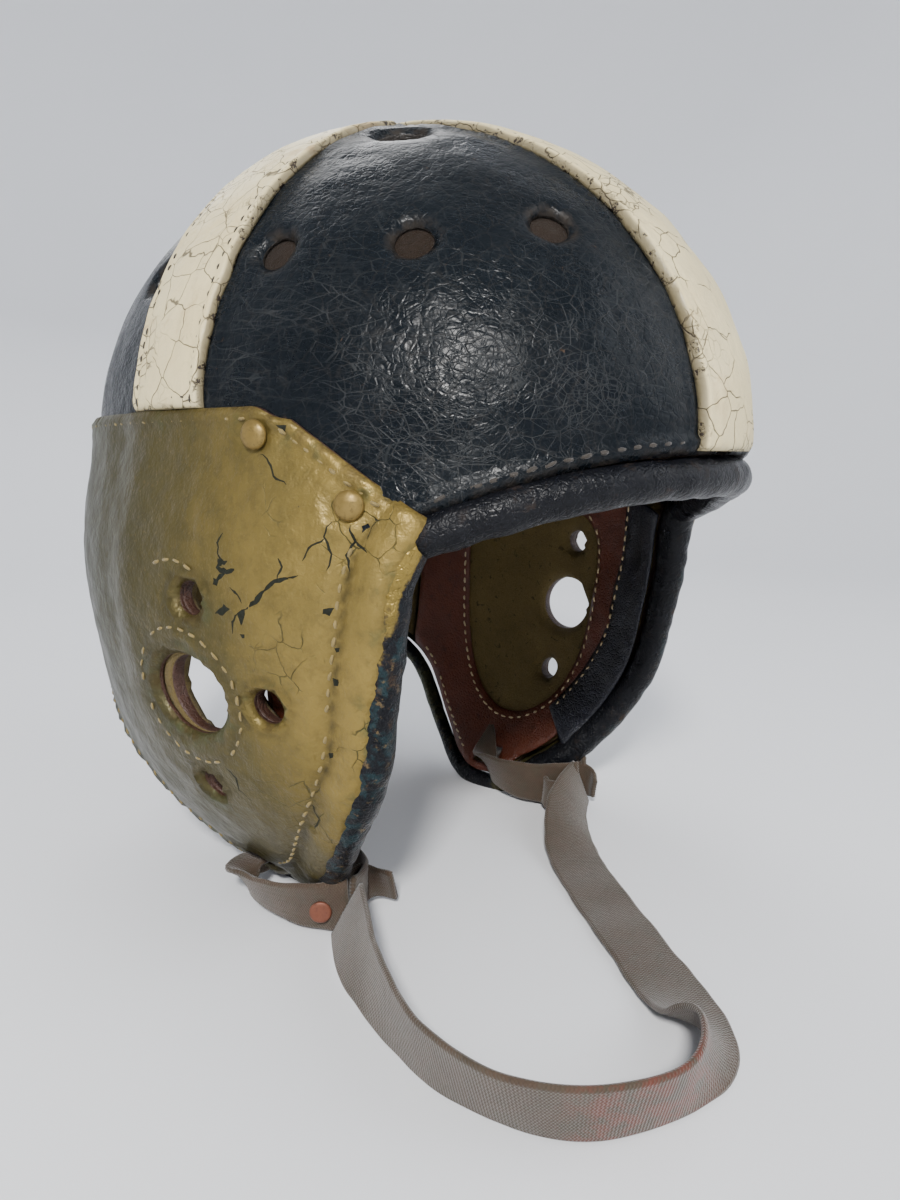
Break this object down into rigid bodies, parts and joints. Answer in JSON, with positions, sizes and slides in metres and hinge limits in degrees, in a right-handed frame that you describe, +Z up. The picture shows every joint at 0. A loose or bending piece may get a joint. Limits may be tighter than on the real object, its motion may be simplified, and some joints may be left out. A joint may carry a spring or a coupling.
{
  "type": "american football helmet",
  "caption": "Padded leather sports helmet with a striped crown, rolled brow, ear flaps with sound holes, felt and web lining and a webbing chin strap",
  "frame": {"origin": "on the plane that the two ear flap tips stand on, in the plane of symmetry, below the widest ring of the crown", "axes": "+Z up, the face looks along -Y, the wearer's left is +X"},
  "size_m": [0.2182, 0.2936, 0.2629],
  "materials": {
    "crown_leather": "glossy, crackled and scuffed",
    "stripe_leather": "crazed ivory paint",
    "flap_leather": "worn metallic paint",
    "roll_leather": "wrinkled, semi-gloss",
    "liner_leather": "worn",
    "felt": "spotted wool felt",
    "webbing": "woven cotton",
    "strap_webbing": "ribbed elastic webbing",
    "rivet": "painted over",
    "strap_rivet": "rusty"
  },
  "bodies": {
    "shell": {"crown_panel_front_right": "crown_leather", "crown_panel_front_left": "crown_leather", "crown_panel_rear_right": "crown_leather", "crown_panel_rear_left": "crown_leather", "strip_front_rear": "stripe_leather", "strip_right": "stripe_leather", "strip_left": "stripe_leather", "neck_guard": "flap_leather", "neck_pad": "felt", "brow_roll": "roll_leather", "crown_lining": "felt", "sweatband": "liner_leather", "web_front_rear": "webbing", "web_left_right": "webbing", "crown_pad": "felt", "ear_flap_right": "flap_leather", "ear_pad_right": "felt", "ear_liner_right": "liner_leather", "flap_roll_right": "roll_leather", "neck_binding_right": "roll_leather", "flap_rivets_right": "rivet", "ear_flap_left": "flap_leather", "ear_pad_left": "felt", "ear_liner_left": "liner_leather", "flap_roll_left": "roll_leather", "neck_binding_left": "roll_leather", "flap_rivets_left": "rivet"},
    "strap": {"chin_strap": "strap_webbing", "strap_loop_right": "strap_webbing", "strap_loop_left": "strap_webbing", "strap_rivet_right": "strap_rivet", "strap_rivet_left": "strap_rivet"}
  },
  "joints": [
    {"name": "chin_strap_swing", "type": "hinge", "parent": "shell", "child": "strap", "pos_m": [0, 0.004, 0.012], "axis": [1, 0, 0], "range_deg": [0, 140]}
  ]
}
